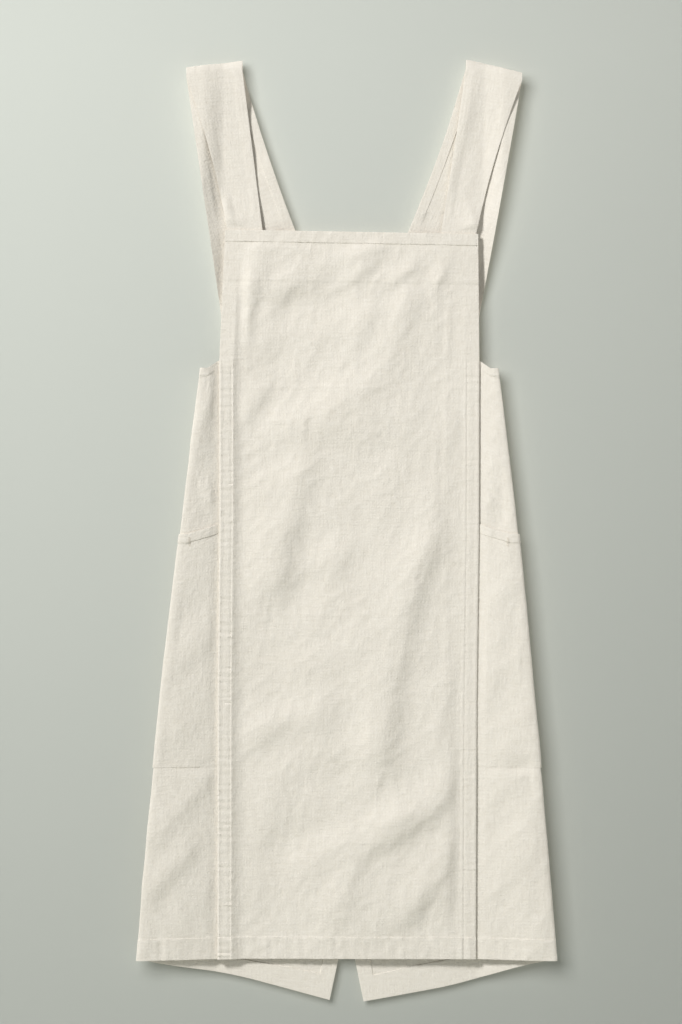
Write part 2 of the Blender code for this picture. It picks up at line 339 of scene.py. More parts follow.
def arc_lengths(middle, axis):
    """Distance along the grid's rows (axis 1) or columns (axis 0), for the flat cloth."""
    step = np.linalg.norm(np.diff(middle, axis=axis), axis=2)
    zero = np.zeros_like(step[:, :1] if axis == 1 else step[:1])
    return np.cumsum(np.concatenate([zero, step], axis=axis), axis=axis)


print("points for a 24 mm hem:", len(hem_marks(0.024)))

# %% [markdown]
# An empty apron doesn't keep the room that a body needs. Its front sinks towards the wall until the layers
# keep about half of their distances, and its side folds are pressed almost flat. It isn't quite straight
# either: it leans a few millimetres from the straps down to the hem, and the bib, the right strap's fold and
# the hems at the back hang a little slanted. One function moves every finished point, so all the pieces move
# together: no seam opens, and no layer passes through another.

# %% How the empty apron hangs
LEAN_HEIGHTS = (0.0, 0.287, 0.474, 0.661, 0.805, 0.991)
LEAN_SHIFTS = (-0.0026, -0.0020, 0.0002, 0.0004, 0.0031, 0.0060)
SINKS_TO = 0.0075  # the y of the layer at the back that stays where it is
FOLD_DEPTH_KEPT = 0.24  # of the distance between layers at a side fold
BIB_SLANT, STRAP_SLANT, BACK_HEM_SLANT = 0.018, 0.0044, 0.045


def pressing(x, z):
    """How near a point is to a side fold, 0 to 1, and how much of the layers' depth is left elsewhere."""
    at = np.clip(z, 0, GORE_TOP_AT_FOLD)
    edge = fold_x(at) + LAYER
    near_fold = np.clip(1 - (edge - np.abs(x)) / (0.97 * (edge - front_half_width(at))), 0, 1)
    return near_fold, 0.5 + 0.12 * smooth(0.84, 0.96, z)


def depth_kept(x, z):
    near_fold, depth = pressing(x, z)
    return mix(depth, FOLD_DEPTH_KEPT, near_fold)


def settle(points):
    """Lets the apron sink against the wall, and presses its side folds flat. x and z are kept."""
    x, y, z = (points[..., k] for k in range(3))
    near_fold, depth = pressing(x, z)
    sunk = SINKS_TO + (y - SINKS_TO) * depth
    folded = FOLD_DEPTH_KEPT * y - 0.0072 - 0.0028 * (1 - smooth(0.12, 0.36, z))
    folded += 0.0030 * smooth(0.35, 0.62, z)
    settled = np.array(points, float)
    settled[..., 1] = mix(sunk, folded, near_fold)
    return settled


def hang(points):
    """From pattern heights to the frame's own z, settled and leaning."""
    moved = settle(points)
    x, height = moved[..., 0].copy(), points[..., 2]
    moved[..., 2] -= BIB_SLANT * x * smooth(0.62, 0.80, height)
    right_shoulder = smooth(0.90, 0.985, height) * smooth(0.02, 0.06, x)
    moved[..., 2] += right_shoulder * (0.0008 + STRAP_SLANT * (1 - smooth(0.126, 0.190, x)))
    moved[..., 2] -= (1 - smooth(-0.030, -0.004, height)) * (0.0008 + BACK_HEM_SLANT * x)
    moved[..., 0] += np.interp(height, LEAN_HEIGHTS, LEAN_SHIFTS)
    moved[..., 2] += HEM_Z
    return moved


print("shift at the straps:", LEAN_SHIFTS[-1] * 1000, "mm")

# %% [markdown]
# The sheet builder keeps the UV map in metres on the flat cloth, because the weave has to follow the threads
# round a fold. It stores both sides' points too, so that stitches can be laid on them later.

# %% The sheet builder
sheets = {}


def clear_selection():
    bpy.ops.object.select_all(action="DESELECT")


def new_piece(name, points, faces):
    mesh = bpy.data.meshes.new(name)
    mesh.from_pydata(points.tolist(), [], faces)
    obj = bpy.data.objects.new(name, mesh)
    bpy.context.scene.collection.objects.link(obj)
    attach(obj, "root")
    return obj


def smooth_shading(obj, degrees):
    clear_selection()
    obj.select_set(True)
    bpy.context.view_layer.objects.active = obj
    bpy.ops.object.shade_smooth_by_angle(angle=radians(degrees))


def grid_faces(rows, columns, first, flip):
    i, j = np.meshgrid(np.arange(rows - 1), np.arange(columns - 1), indexing="ij")
    a = first + i * columns + j
    quads = np.stack([a, a + 1, a + columns + 1, a + columns], axis=-1).reshape(-1, 4)
    return quads[:, ::-1] if flip else quads


def rim_faces(rows, columns):
    """The quads that join the two sides round the edge."""
    n = rows * columns
    ring = [*range(columns), *[(i + 1) * columns - 1 for i in range(1, rows)]]
    ring += [(rows - 1) * columns + j for j in range(columns - 2, -1, -1)]
    ring += [i * columns for i in range(rows - 2, 0, -1)]
    return [(b, a, a + n, b + n) for a, b in zip(ring, ring[1:] + ring[:1])]


def make_sheet(name, middle, flat, relief_out, relief_in, shift_y=0.0, keep_depth=False, outward=(0, -1, 0)):
    """middle: rows by columns by 3, in pattern heights. flat: the same grid laid flat, in metres."""
    rows, columns = middle.shape[:2]
    n = outward_normals(middle, outward)
    if keep_depth:  # settle() flattens what faces forward, so its relief is drawn deeper beforehand
        kept = np.maximum(depth_kept(middle[..., 0], middle[..., 2]), 0.3)
        relief_out = relief_out * mix(0.35, 1 / kept, n[..., 1] ** 2)
    lifted = middle.copy()
    lifted[..., 1] += shift_y
    from_edge = [np.minimum(np.arange(count), np.arange(count)[::-1]) for count in (rows, columns)]
    at_edge = np.minimum.outer(*from_edge) == 0
    roll = np.where(at_edge, 0.00022, 0.0)[..., None]  # the turned edge is round, not cut square
    right_side = hang(lifted + n * (CLOTH / 2 + relief_out[..., None] - roll))
    wrong_side = hang(lifted - n * (CLOTH / 2 + relief_in[..., None] - roll))
    points = np.concatenate([right_side.reshape(-1, 3), wrong_side.reshape(-1, 3)])
    both_sides = [grid_faces(rows, columns, 0, False), grid_faces(rows, columns, rows * columns, True)]
    faces = np.concatenate([*both_sides, rim_faces(rows, columns)])
    a, b, c, d = (points[faces[:, k]] for k in range(4))
    if (a * np.cross(b, c)).sum() + (a * np.cross(c, d)).sum() < 0:  # inside out
        faces = faces[:, ::-1]
    obj = new_piece(name, points, faces.tolist())
    uv = obj.data.uv_layers.new(name="flat_cloth")
    loops = np.empty(len(obj.data.loops), np.int32)
    obj.data.loops.foreach_get("vertex_index", loops)
    uv.data.foreach_set("uv", np.tile(flat.reshape(-1, 2), (2, 1))[loops].astype(np.float32).ravel())
    smooth_shading(obj, 38)
    sheets[name] = {"obj": obj, "right": right_side, "wrong": wrong_side, "normal": n, "flat": flat}
    print(name, "has", rows, "rows of", columns, "points and", 2 * len(faces), "triangles")


print("a sheet of 2 by 2 points has", len(rim_faces(2, 2)), "rim faces")

# %% [markdown]
# ## The front panel
# Bib and skirt are one straight length of canvas. Its long edges are felled over the gores, which makes a
# strip of three layers 18 mm wide that stands up from the rest and puckers along its stitches. The bib's top
# is turned down 13 mm over the strap ends, and the lower hem is 24 mm deep.

# %% The front panel's grid
FELL_STRIP = 0.0175
TOP_HEM, LOWER_HEM = 0.0130, 0.0245
FELL_MARKS = [0.0005, 0.0013, 0.0021, 0.0032, 0.0060, 0.0090, 0.0118, 0.0129, 0.0135, 0.0141, 0.0151, 0.0163]
FELL_MARKS += [0.0175, 0.0190, 0.0210, 0.0240, 0.0275, 0.0310]
FRONT_SPACING, FRONT_RISE = 0.0029, 0.0021


def puckers(along, across, seed, wavelength=0.0065):
    """The small waves that a row of stitches pulls into the layers under it."""
    strength = 0.45 + 0.55 * smooth(-0.2, 0.8, crumple(along, across, 0.05, seed + 1))
    return strength * crumple(along, across * 0.35, wavelength, seed, direction=pi / 2, spread=0.5)


def step_up(distance, depth, width=0.0006):
    """1 within depth of an edge, 0 beyond it, with a crisp end."""
    return 1 - smooth(depth - width, depth, distance)


bib_rows = np.arange(TOP_HEM + FRONT_RISE, FACING_DEPTH - 0.001, FRONT_RISE)
top_rows = [*hem_marks(TOP_HEM), *bib_rows, FACING_DEPTH, FACING_DEPTH + 0.001]
heights = marks(FRONT_LENGTH, hem_marks(LOWER_HEM), top_rows, FRONT_RISE)
hem_width = 2 * FRONT_HALF_WIDTHS[0]
shares = marks(hem_width, FELL_MARKS, FELL_MARKS, FRONT_SPACING) / hem_width
z = np.repeat(heights[:, None], len(shares), axis=1)
half = front_half_width(heights)[:, None]
x = -half + 2 * half * shares[None, :]
middle = on_layer(x, z, front_layer(2))
print("the front panel's grid is", middle.shape[0], "by", middle.shape[1])

# %% The front panel's relief
from_side, near_top = half - np.abs(x), FRONT_LENGTH - z
inside_strips = smooth(FELL_STRIP, FELL_STRIP + 0.014, from_side)
loose_middle = smooth(FELL_STRIP, FELL_STRIP + 0.045, from_side)
below_gore_top = 1 - smooth(GORE_TOP_AT_SEAM - 0.004, GORE_TOP_AT_SEAM + 0.004, z)
on_left = x < 0

swell = folds(x, z, FRONT_FOLDS) * inside_strips
swell += 0.0014 * loose_middle * crumple(x, z, 0.15, 11, direction=1.15, spread=1.4)
swell += 0.0009 * loose_middle * crumple(x, z, 0.060, 12, direction=1.0, spread=2.0)
swell *= smooth(0.004, 0.022, near_top) * (0.25 + 0.75 * smooth(0.0, 0.05, z))
patchy = 0.35 + 0.65 * smooth(-0.5, 0.9, crumple(x, z, 0.09, 24))
fine = 0.00052 * ridges(x, z, 0.036, 21, direction=0.9, spread=2.2)
fine += patchy * (0.00018 * crumple(x, z, 0.016, 22) + 0.00017 * crumple(x, z, 0.0085, 23))
relief = fine * (0.35 + 0.65 * inside_strips) + pressed(x, z)
# the felled strips: raised, puckered, with a rib at the edge and a groove along the inner stitches
strip = step_up(from_side, FELL_STRIP, 0.0024) * (1 - smooth(FRONT_LENGTH - 0.075, FRONT_LENGTH - 0.045, z))
strip *= np.where(on_left, 1.0, 0.35) * (0.45 + 0.55 * below_gore_top)
relief += strip * (0.0011 + 0.00080 * puckers(z, x, 31, 0.0066))
relief += below_gore_top * np.where(on_left, 0.0006, 0.0004) * bell(from_side, 0.0018, 0.0012)
relief -= below_gore_top * 0.0004 * bell(from_side, 0.0135, 0.0009)
# the hems, and the facing that shows through
top_hem = 0.0006 + 0.00030 * puckers(x, z, 33) + 0.00025 * crumple(x, z, 0.045, 34)
relief += step_up(near_top, TOP_HEM) * top_hem
relief -= 0.0003 * bell(near_top - TOP_HEM, 0.0015, 0.0018)
relief += step_up(near_top, FACING_DEPTH, 0.001) * 0.00050
relief += step_up(z, LOWER_HEM) * (0.00055 + 0.00060 * puckers(x, z * 0.4, 35, 0.012))
# the cloth between the strips sags back, more on the left
sag = 1 - (1 - np.clip((from_side - FELL_STRIP) / 0.014, 0, 1)) ** 2
sink = sag * mix(0.0034, 0.0005, smooth(-0.08, 0.08, x))
sink *= 1 - smooth(FRONT_LENGTH - 0.085, FRONT_LENGTH - 0.055, z)
shift = (sink - swell) / depth_kept(x, z)
make_sheet("front_panel_cloth", middle, middle[..., [0, 2]], relief, np.zeros_like(x), shift, True)

# %% [markdown]
# The facing behind the bib's top holds the strap ends. It is a plain band, and shows only from inside.

# %% The bib facing
FACING_HEM = 0.009
heights = marks(FACING_DEPTH - 0.002, hem_marks(FACING_HEM), [0.001], 0.004) + FRONT_LENGTH - FACING_DEPTH
shares = marks(1.0, [0.01], [0.01], 0.016)
half = front_half_width(heights)[:, None] - 0.002
z = np.repeat(heights[:, None], len(shares), axis=1)
x = -half + 2 * half * shares[None, :]
middle = on_layer(x, z, front_layer(0))
inner = 0.0004 * step_up(z - heights[0], FACING_HEM) + 0.0003 * ridges(x, z, 0.02, 41)
make_sheet("bib_facing_cloth", middle, middle[..., [0, 2]], np.zeros_like(x), inner)
print("facing is", round(FACING_DEPTH * 1000, 1), "mm deep")

# %% [markdown]
# ## The side gores and the pockets
# A gore starts under the front panel's edge, runs out to the side, folds round it, and runs in again at the
# back until the back panel covers its end. A pocket is a patch that makes the same turn one layer further
# out. Both are rows of points that follow that path, so one function gives both their rows.

# %% The path round the side
FRONT_STEPS, TURN_STEPS = 40, 15


def wrapped_grid(heights, row_of, back_steps):
    """Rows round the side. row_of gives seam z, fold z, end z, end x, fold x, front y, back y and gape."""
    rows = []
    for height in heights:
        seam_z, fold_z, end_z, end_x, edge_x, front_y, back_y, gape = row_of(height)
        radius, middle_y = (back_y - front_y) / 2, (back_y + front_y) / 2
        turn_x = edge_x - radius
        seam_x = front_half_width(seam_z)
        clear_x = seam_x + LAYER
        row = [(seam_x - FELL_WIDTH, front_y, seam_z), (clear_x - 0.006, front_y, seam_z)]
        for s in np.linspace(0, 1, FRONT_STEPS):
            row.append((mix(clear_x, turn_x, s), front_y - gape * sin(pi * s), mix(seam_z, fold_z, s)))
        for t in np.linspace(0, pi, TURN_STEPS)[1:-1]:
            row.append((turn_x + radius * sin(t), middle_y - radius * cos(t), fold_z))
        for s in np.linspace(0, 1, back_steps):
            row.append((mix(turn_x, end_x, s), back_y, mix(fold_z, end_z, s)))
        rows.append(row)
    return np.array(rows)


def side_grid(heights, span, row_of, back_steps):
    """A gore's or pocket's grid, its distances from the seam and the hem, and how free it is of the seam."""
    middle = wrapped_grid(heights, row_of, back_steps)
    up = np.repeat(heights[:, None] * span, middle.shape[1], axis=1)
    seam_x = front_half_width(up)
    return middle, arc_lengths(middle, 1), up, smooth(seam_x + 0.002, seam_x + 0.012, middle[..., 0])


def back_swell(x, z):
    """The soft waves and folds of the whole back. All its layers share them, so they never meet."""
    calm = (0.2 + 0.8 * smooth(-0.01, 0.10, z)) * (1 - smooth(0.80, 0.95, z))
    calm *= 1 - smooth(0.12, 0.19, np.abs(x))
    waves = crumple(x, z, 0.13, 71, direction=1.2, spread=1.6)
    waves += 0.6 * crumple(x, z, 0.06, 72, direction=0.9, spread=2.0)
    return calm * (0.0015 * waves + 0.85 * folds(x, z, BACK_FOLDS)) / depth_kept(x, z)


def side_swell(x, y, z):
    """The long waves of a gore's front, which its pocket shares, so the two never meet."""
    from_seam, on_front = np.abs(x) - front_half_width(z), np.where(y < 0, 1.0, 0.0)
    calm = smooth(0.002, 0.030, from_seam) * on_front * (1 - smooth(-0.014, -0.004, np.abs(x) - fold_x(z)))
    waves = 0.0011 * crumple(x, z, 0.085, 73, direction=0.8, spread=1.0) + 0.0006 * crumple(x, z, 0.050, 74)
    waves = calm * waves - 0.0004 * bell(from_seam, 0.001, 0.006) * on_front
    return waves / np.maximum(depth_kept(x, z), 0.3)


print("points round the side:", FRONT_STEPS + TURN_STEPS, "and more at the back")

# %% The side gores
GORE_HEM, GORE_TOP_HEM = 0.0240, 0.0095
POCKET_BUNCH = (0.512, 0.018, 0.152, 0.016)  # where a hand has creased the gore: height and x, with widths


def gore_row(back_number):
    def row_of(share):
        seam_z = mix(0.0, GORE_TOP_AT_SEAM, share)
        fold_z = mix(-FOLD_HEM_DROP, GORE_TOP_AT_FOLD, share)
        end_x = mix(BACK_SEAM_X_HEM, BACK_SEAM_X_TOP, share) - SEAM_LAP
        end_z = mix(back_hem_height(BACK_SEAM_X_HEM - SEAM_LAP), BACK_SEAM_TOP, share)
        return seam_z, fold_z, end_z, end_x, fold_x(fold_z), front_layer(0), back_layer(back_number), 0.0
    return row_of


gore_heights = marks(GORE_TOP_AT_SEAM, hem_marks(GORE_HEM), hem_marks(GORE_TOP_HEM), 0.0032)
gore_heights /= GORE_TOP_AT_SEAM
for side, name, back_number, seed in ((-1, "side_gore_left", 0, 101), (1, "side_gore_right", 1, 201)):
    middle, across, up, free = side_grid(gore_heights, GORE_TOP_AT_SEAM, gore_row(back_number), 26)
    on_back = np.where(middle[..., 1] > 0, 1.0, 0.0)
    free *= np.where(on_back > 0, smooth(-0.001, 0.012, middle[..., 0] - BACK_SEAM_X_HEM), 1.0)
    middle[..., 0] *= side
    x, y, z = (middle[..., k] for k in range(3))
    pocket_top = 1 - smooth(POCKET_TOP_AT_FOLD - 0.035, POCKET_TOP_AT_FOLD - 0.005, z)
    bare = free * (1 - 0.94 * smooth(POCKET_BOTTOM - 0.01, POCKET_BOTTOM, z) * pocket_top)
    relief = 0.00055 * ridges(across, up, 0.055, seed, direction=0.9, spread=1.2)
    relief += 0.0004 * crumple(x, z, 0.09, seed + 1, direction=0.85 if side < 0 else 2.2, spread=0.9)
    relief += 0.00026 * ridges(across, up, 0.014, seed + 2) + 0.00011 * crumple(across, up, 0.0085, seed + 3)
    relief += np.where(y < 0.001, 1.0, 0.0) * folds(x, z, GORE_FOLDS)
    relief *= bare
    bunch_z, bunch_rise, bunch_x, bunch_width = POCKET_BUNCH
    bunch = 0.0016 * ridges(x, z, 0.020, seed + 4, direction=2.2, spread=0.8)
    bunch *= bell(z, bunch_z, bunch_rise) * bell(np.abs(x), bunch_x, bunch_width)
    hem = step_up(up, GORE_HEM) * (0.00055 + 0.00045 * puckers(across, up * 0.4, seed + 5, 0.012))
    top_hem = step_up(GORE_TOP_AT_SEAM - up, GORE_TOP_HEM)
    relief += free * (bunch + pressed(x, z) * 0.8 + hem + top_hem * 0.0005)
    inner = step_up(up, GORE_HEM) * 0.0009 + top_hem * 0.0006
    shift = on_back * back_swell(x, z) - side_swell(x, y, z)
    make_sheet(name + "_cloth", middle, np.stack([across, up], axis=-1), relief, inner, shift, True)

# %% [markdown]
# The pocket's mouth is turned down 10 mm and stands a little way open. Its outer corner sticks out past the
# gore, because it lies one layer further out all the way round.

# %% The pockets
POCKET_HEM = 0.0105


def pocket_row(back_number):
    def row_of(share):
        seam_z = mix(POCKET_BOTTOM, POCKET_TOP_AT_SEAM, share)
        fold_z = mix(POCKET_BOTTOM, POCKET_TOP_AT_FOLD, share)
        edge_x = fold_x(fold_z) + LAYER
        front_y, back_y = front_layer(1), back_layer(back_number)
        end_x = edge_x - (back_y - front_y) / 2 - POCKET_BACK_WIDTH
        return seam_z, fold_z, fold_z, end_x, edge_x, front_y, back_y, 0.35 * POCKET_GAPE * share ** 9
    return row_of


pocket_height = POCKET_TOP_AT_SEAM - POCKET_BOTTOM
pocket_heights = marks(pocket_height, [0.0006, 0.002, 0.005], hem_marks(POCKET_HEM), 0.0029) / pocket_height
for side, name, back_number, seed in ((-1, "pocket_left", 1, 301), (1, "pocket_right", 2, 401)):
    middle, across, up, free = side_grid(pocket_heights, pocket_height, pocket_row(back_number), 6)
    middle[..., 0] *= side
    x, y, z = (middle[..., k] for k in range(3))
    on_front = np.where(y < 0.001, 1.0, 0.0)
    from_mouth = pocket_height - up
    relief = 0.00040 * ridges(across, up, 0.050, seed, direction=0.9, spread=1.2)
    relief += 0.0003 * smooth(0.0, 0.04, up)
    relief += 0.00020 * ridges(across, up, 0.014, seed + 2) + 0.00009 * crumple(across, up, 0.0085, seed + 3)
    relief += pressed(x, z) * 0.8 - 0.0005 * bell(from_mouth - POCKET_HEM, 0.002, 0.0022)
    inside_hems = smooth(0.0, 0.02, up) * (1 - smooth(-0.02, -0.012, -from_mouth))
    relief += on_front * folds(x, z, GORE_FOLDS) * inside_hems
    relief *= free
    past_seam = smooth(-0.002, 0.004, np.abs(x) - FRONT_HALF_WIDTHS[1])
    relief += step_up(from_mouth, POCKET_HEM) * 0.0007 * past_seam
    thin = 1 - smooth(0.0, 0.022, up)  # pressed hard at the bottom seam, so that its edge hardly shows
    relief -= 0.00076 * thin * depth_kept(x, z)
    shift = 0.00024 * thin * on_front - side_swell(x, y, z)
    flat = np.stack([across, up + POCKET_BOTTOM], axis=-1)
    make_sheet(name + "_cloth", middle, flat, relief, np.zeros_like(x), shift, True)

# %% [markdown]
# ## The back panels
# A back panel joins its gore, crosses the centre, and narrows to the strap of the other shoulder. Its outline
# has a straight hem, a slanting centre-back edge, an armhole curve and a short seam to the strap. A grid that
# is stretched between four such sides is called a Coons patch.

# %% The back panel's four sides
CENTRE_HEM, BACK_HEM, ARMHOLE_HEM = 0.0165, 0.0240, 0.0080
STRAP_BOW = 0.007  # how far the strap's inner edge bows out at the back


def bezier(p0, p1, p2, p3, count):
    t = np.linspace(0, 1, count)[:, None]
    return (1 - t) ** 3 * p0 + 3 * (1 - t) ** 2 * t * p1 + 3 * (1 - t) * t * t * p2 + t ** 3 * p3


strap_top = STRAP_SEAM_HEIGHT + SEAM_LAP
rise = (strap_top - STRAP_SEAM_HEIGHT) / (STRAP_FOLD_TOP_OUTER - STRAP_SEAM_HEIGHT)
outer_x = mix(STRAP_SEAM_OUTER, STRAP_FOLD_OUTER, rise)
inner_x = mix(STRAP_SEAM_INNER, STRAP_FOLD_INNER, rise) + STRAP_BOW * 4 * rise * (1 - rise)
gore_hem = np.array([-BACK_SEAM_X_HEM, back_hem_height(BACK_SEAM_X_HEM)])
centre_hem = np.array([-CENTRE_BACK_X, -CENTRE_BACK_DROP])
gore_top = np.array([-BACK_SEAM_X_TOP, BACK_SEAM_TOP])
strap_in, strap_out = np.array([inner_x, strap_top]), np.array([outer_x, strap_top])
armhole = bezier(gore_top, gore_top + (0.062, 0.0), strap_in + (-0.028, -0.048), strap_in, 60)
top_side = np.concatenate([armhole, [strap_out]])
top_lengths = np.concatenate([[0], np.cumsum(np.linalg.norm(np.diff(top_side, axis=0), axis=1))])


def coons(u, v):
    """The point of the panel at shares u, from gore to centre back, and v, from hem to top."""
    along_top = np.stack([np.interp(u * top_lengths[-1], top_lengths, side) for side in top_side.T], axis=-1)
    u, v = u[..., None], v[..., None]
    bottom = mix(gore_hem, centre_hem, u)
    left, right = mix(gore_hem, gore_top, v), mix(centre_hem, strap_out, v)
    corners = (1 - u) * (1 - v) * gore_hem + u * (1 - v) * centre_hem
    corners += (1 - u) * v * gore_top + u * v * strap_out
    return (1 - v) * bottom + v * along_top + (1 - u) * left + u * right - corners


print("the top side of the panel is", round(top_lengths[-1], 3), "m along")

# %% The two back panels
PANEL_LENGTH, PANEL_WIDTH = 0.70, 0.30  # the measures that hems and stitches are counted in
top_marks = [0.0006, 0.0022, 0.005, ARMHOLE_HEM - 0.0005, ARMHOLE_HEM]
v_marks = marks(PANEL_LENGTH, hem_marks(BACK_HEM), top_marks, 0.0036) / PANEL_LENGTH
u_marks = marks(PANEL_WIDTH, [0.0006, SEAM_LAP - 0.0005, SEAM_LAP], hem_marks(CENTRE_HEM), 0.0036)
plane = []
for v in v_marks:
    ends = coons(np.array([0.0, 1.0]), np.array([v, v]))
    width = np.linalg.norm(ends[1] - ends[0])
    measured = [0, SEAM_LAP, PANEL_WIDTH - CENTRE_HEM, PANEL_WIDTH]
    u = np.interp(u_marks, measured, [0, SEAM_LAP / width, 1 - CENTRE_HEM / width, 1])
    plane.append(coons(u, np.full_like(u, v)))
plane = np.array(plane)
from_hem = np.repeat(v_marks[:, None] * PANEL_LENGTH, len(u_marks), axis=1)
from_gore = np.repeat(u_marks[None, :], len(v_marks), axis=0)
hem_in = np.maximum(step_up(from_hem, BACK_HEM), step_up(PANEL_WIDTH - from_gore, CENTRE_HEM))
clear = smooth(0.0, 0.010, from_gore)
for side, name, number, seed in ((-1, "back_panel_left", 1, 501), (1, "back_panel_right", 2, 601)):
    x, z = plane[..., 0] * -side, plane[..., 1]
    middle = on_layer(x, z, back_layer(number))
    outer = number == 2  # the panel that lies over the other has room to crease
    if outer:
        relief = 0.0008 * ridges(x, z, 0.040, seed, direction=1.0, spread=1.5)
        relief += 0.00020 * crumple(x, z, 0.015, seed + 2) + 0.00015 * crumple(x, z, 0.0085, seed + 3)
    else:
        relief = 0.00012 * (1 + crumple(x, z, 0.012, seed + 3))
    relief *= clear
    relief += (0.0006 if outer else 0.00012) * hem_in * (1 + 0.5 * puckers(x, z, seed + 7, 0.012))
    relief += 0.0003 * step_up(from_gore, SEAM_LAP) * (1 + 0.4 * puckers(z, x, seed + 5))
    below = 1 - smooth(0.0, 0.02, z)
    inner = hem_in * mix(0.00018 if outer else 0.0009, 0.0018, below)
    flat, shift = middle[..., [0, 2]], back_swell(x, z)
    make_sheet(name + "_cloth", middle, flat, relief, inner, shift, outer, (0, 1, 0))

# %% [markdown]
# ## The shoulder straps
# A strap runs from behind the bib up to the shoulder, turns over, and widens down the back until it meets its
# back panel. It is a single layer, turned in 11 mm along both edges. The two runs lie nearly on each other,
# and the eye sees the turnings on the wrong side of the back run beside the front run.

# %% The path of a strap
STRAP_HEM = 0.0110
STRAP_WIDTH = 0.06  # the measure that its points are counted in


def strap_grid(back_number):
    """Rows across the strap, from the facing, over the shoulder, to the back panel."""
    front_y, back_y = front_layer(1), back_layer(back_number)
    radius, middle_y = (back_y - front_y) / 2, (back_y + front_y) / 2
    end_z = FRONT_LENGTH - FACING_DEPTH + 0.0006
    turn_in, turn_out = STRAP_FOLD_TOP_INNER - radius, STRAP_FOLD_TOP_OUTER - radius
    rows = []
    for s in np.linspace(0, 1, 18)[:-1]:  # behind the bib
        lean, height = 0.007 * (1 - s), mix(end_z, FRONT_LENGTH, s)
        rows.append((STRAP_BIB_INNER - lean, STRAP_BIB_OUTER - lean, front_y, height, height))
    for s in np.linspace(0, 1, 62):  # up the front
        outer = mix(STRAP_BIB_OUTER, STRAP_FOLD_OUTER, s) - 0.004 * 4 * s * (1 - s)
        rows.append((mix(STRAP_BIB_INNER, STRAP_FOLD_INNER, s), outer, front_y,
                     mix(FRONT_LENGTH, turn_in, s), mix(FRONT_LENGTH, turn_out, s)))
    for t in np.linspace(0, pi, 17)[1:-1]:  # over the shoulder
        y, lift = middle_y - radius * cos(t), radius * sin(t)
        rows.append((STRAP_FOLD_INNER, STRAP_FOLD_OUTER, y, turn_in + lift, turn_out + lift))
    for s in np.linspace(0, 1, 96):  # down the back
        inner = mix(STRAP_FOLD_INNER, STRAP_SEAM_INNER, s) + STRAP_BOW * 4 * s * (1 - s)
        rows.append((inner, mix(STRAP_FOLD_OUTER, STRAP_SEAM_OUTER, s), back_y,
                     mix(turn_in, STRAP_SEAM_HEIGHT, s), mix(turn_out, STRAP_SEAM_HEIGHT, s)))
    places = marks(STRAP_WIDTH, hem_marks(STRAP_HEM), hem_marks(STRAP_HEM), 0.0026)
    measured = [0, STRAP_HEM, STRAP_WIDTH - STRAP_HEM, STRAP_WIDTH]
    grid = []
    for inner, outer, y, z_in, z_out in rows:
        turned = STRAP_HEM / np.hypot(outer - inner, z_out - z_in)
        k = np.interp(places, measured, [0, turned, 1 - turned, 1])
        grid.append(np.stack([mix(inner, outer, k), np.full_like(k, y), mix(z_in, z_out, k)], axis=-1))
    return np.array(grid)


print("rows along a strap:", len(strap_grid(0)))

# %% The two straps
STRAPS = ((1, "shoulder_strap_right", 0, 701), (-1, "shoulder_strap_left", 3, 801))
for side, name, back_number, seed in STRAPS:
    middle = strap_grid(back_number)
    middle[..., 0] *= side
    x, y, z = (middle[..., k] for k in range(3))
    along, across = arc_lengths(middle, 0), arc_lengths(middle, 1)
    width = across[:, -1:]
    hem = step_up(np.minimum(across, width - across), STRAP_HEM)
    front_run = np.where(y < 0, 1.0, 0.0)
    above_bib = z - FRONT_LENGTH
    open_air = smooth(0.004, 0.03, above_bib)
    relief = 0.0007 * crumple(across, along, 0.090, seed, direction=0.9, spread=2.0)
    relief += 0.0004 * ridges(across, along, 0.030, seed + 1, direction=0.9, spread=2.4)
    relief *= open_air * (1 - 0.8 * smooth(0.950, 0.975, z))
    relief += smooth(0, 0.008, above_bib) * front_run * folds(x, z, STRAP_FOLDS)
    crease = 0.0016 * bell(across / width, 0.16, 0.05) * bell(above_bib, 0.022, 0.018) * front_run
    relief += open_air * (crease + 0.00022 * ridges(across, along, 0.013, seed + 2) + 0.0001 * hem)
    inner = 0.0011 * hem * open_air
    # between bib and shoulder both runs are drawn in, and the front run curls a little
    below_shoulder = 1 - smooth(0.920, 0.974, z)
    drawn_in = (0.0098 if side < 0 else 0.0074) * smooth(0.70, 0.82, z) * below_shoulder * (1 - front_run)
    drawn_in -= 0.0042 * smooth(0.004, 0.045, above_bib) * below_shoulder * front_run
    curl = open_air * front_run * 0.0004 * np.cos((across / width) * pi * 2) * (1 - smooth(0.93, 0.98, z))
    shift = (1 - front_run) * back_swell(x, z) - np.abs(curl) - drawn_in
    make_sheet(name + "_cloth", middle, np.stack([across, along], axis=-1), relief, inner, shift)

# %% [markdown]
# ## Stitches
# A sewn seam is a row of short thread bars, about 3 mm long with a small gap between them. One stitch is
# modelled from a cylinder, and its mesh is copied along every seam line.

# %% One stitch
STITCH_LENGTH, STITCH_PITCH, THREAD = 0.0027, 0.0035, 0.00044
LOOK_AHEAD = 0.0012  # how far along the seam a stitch looks for its direction


def lying_cylinder(sides, radius, length):
    """A cylinder that lies along x."""
    clear_selection()
    bpy.ops.mesh.primitive_cylinder_add(
        vertices=sides, radius=radius, depth=length, location=(0, 0, 0), rotation=(0, pi / 2, 0))
    bpy.ops.object.transform_apply(location=True, rotation=True, scale=True)
    return bpy.context.object


def taken_apart(obj):
    """The points and faces of an object that is then removed."""
    points = np.array([v.co for v in obj.data.vertices])
    faces = [list(p.vertices) for p in obj.data.polygons]
    bpy.data.objects.remove(obj)
    return points, faces


